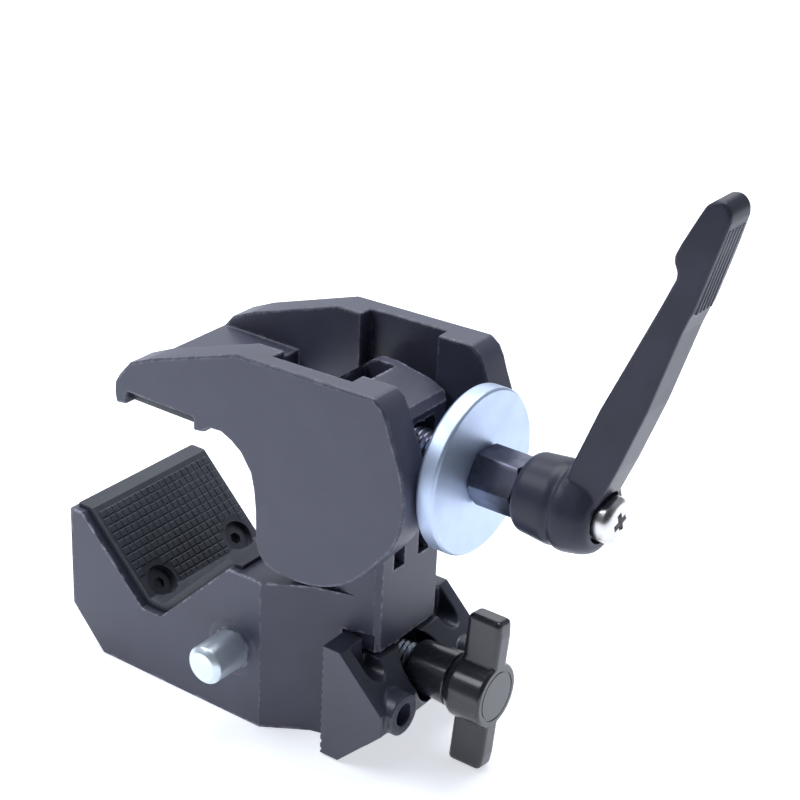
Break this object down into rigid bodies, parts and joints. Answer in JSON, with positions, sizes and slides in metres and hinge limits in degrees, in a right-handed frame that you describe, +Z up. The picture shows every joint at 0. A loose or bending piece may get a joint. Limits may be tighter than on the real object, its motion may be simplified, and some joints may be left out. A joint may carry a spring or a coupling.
{
  "type": "super clamp",
  "caption": "Cast V-jaw clamp with a hinged upper jaw, ratchet lever and thrust washer, hexagonal stud socket, sprung release pin, wing screw and stored wedge insert.",
  "frame": {"origin": "on the stud socket's axis, in the plane of the flat base", "axes": "+X from the jaw mouth towards the lever, +Y across the jaws away from the release pin, +Z up from the flat base"},
  "size_m": [0.1472, 0.0524, 0.14],
  "materials": {
    "cast_coated": "satin dark blue-grey powder coat on a fine cast skin",
    "grip_pad": "matte, fine crossed ribs",
    "steel_dark": "black oxide, slightly worn",
    "steel_bright": "zinc plated, turned",
    "steel_nickel": "nickel plated, polished",
    "spring_steel": "drawn spring wire",
    "lever_black": "glossier black coat on a die casting",
    "wedge_black": "glass-filled nylon, satin",
    "wing_black": "smooth moulded black"
  },
  "bodies": {
    "fixed_jaw": {"jaw_body": "cast_coated", "lower_pad": "grip_pad", "lower_pad_screws": "steel_dark", "pivot_pin": "steel_bright", "trunnion_nut": "steel_dark", "pin_spring": "spring_steel", "pin_plug": "steel_dark"},
    "hinged_jaw": {"upper_jaw": "cast_coated", "upper_pad": "grip_pad", "upper_pad_screws": "steel_dark"},
    "washer": {"thrust_washer": "steel_bright"},
    "spindle_set": {"spindle": "steel_dark", "ratchet_gear": "steel_dark", "lever_screw": "steel_nickel", "lever_spring": "spring_steel"},
    "seat_ring": {"spring_seat": "steel_bright"},
    "lever_handle": {"lever": "lever_black"},
    "stud_pin": {"release_pin": "steel_bright"},
    "wedge": {"wedge_insert": "wedge_black", "wedge_pegs": "steel_bright"},
    "sleeve": {"wing_sleeve": "wing_black"},
    "wing": {"wing_screw": "steel_bright", "wing_handle": "wing_black"}
  },
  "joints": [
    {"name": "jaw_swing", "type": "hinge", "parent": "fixed_jaw", "child": "hinged_jaw", "pos_m": [0.0107, 0, 0.0555], "axis": [0, -1, 0], "range_deg": [-22, 40]},
    {"name": "washer_feed", "type": "slide", "parent": "fixed_jaw", "child": "washer", "axis": [-1, 0, 0], "range_m": [-0.00458, 0.00835]},
    {"name": "spindle_turn", "type": "hinge", "parent": "washer", "child": "spindle_set", "pos_m": [0.04, 0, 0.0691], "axis": [-1, 0, 0], "range_deg": [-1100, 2005]},
    {"name": "lever_lift", "type": "slide", "parent": "spindle_set", "child": "seat_ring", "axis": [1, 0, 0], "range_m": [0, 0.0047], "stiffness_N_per_m": 1500, "springref_m": -0.002, "deforming": ["lever_spring"]},
    {"name": "lever_index", "type": "hinge", "parent": "seat_ring", "child": "lever_handle", "pos_m": [0.06, 0, 0.0691], "axis": [1, 0, 0], "continuous": true},
    {"name": "pin_press", "type": "slide", "parent": "fixed_jaw", "child": "stud_pin", "axis": [0, 1, 0], "range_m": [0, 0.0045], "stiffness_N_per_m": 900, "springref_m": -0.003, "deforming": ["pin_spring"]},
    {"name": "wedge_slide", "type": "slide", "parent": "fixed_jaw", "child": "wedge", "axis": [1, 0, 0], "range_m": [0, 0.002]},
    {"name": "wing_feed", "type": "slide", "parent": "fixed_jaw", "child": "sleeve", "axis": [-1, 0, 0], "range_m": [-0.00374, 0.0025]},
    {"name": "wing_turn", "type": "hinge", "parent": "sleeve", "child": "wing", "pos_m": [0.04, 0, 0.0178], "axis": [-1, 0, 0], "range_deg": [-1080, 725]}
  ],
  "couplings": [
    {"joint": "spindle_turn", "follows": "washer_feed", "rad_per_m": 4188.8},
    {"joint": "jaw_swing", "follows": "washer_feed", "rad_per_m": 83.333},
    {"joint": "wing_turn", "follows": "wing_feed", "rad_per_m": 5026.5}
  ]
}
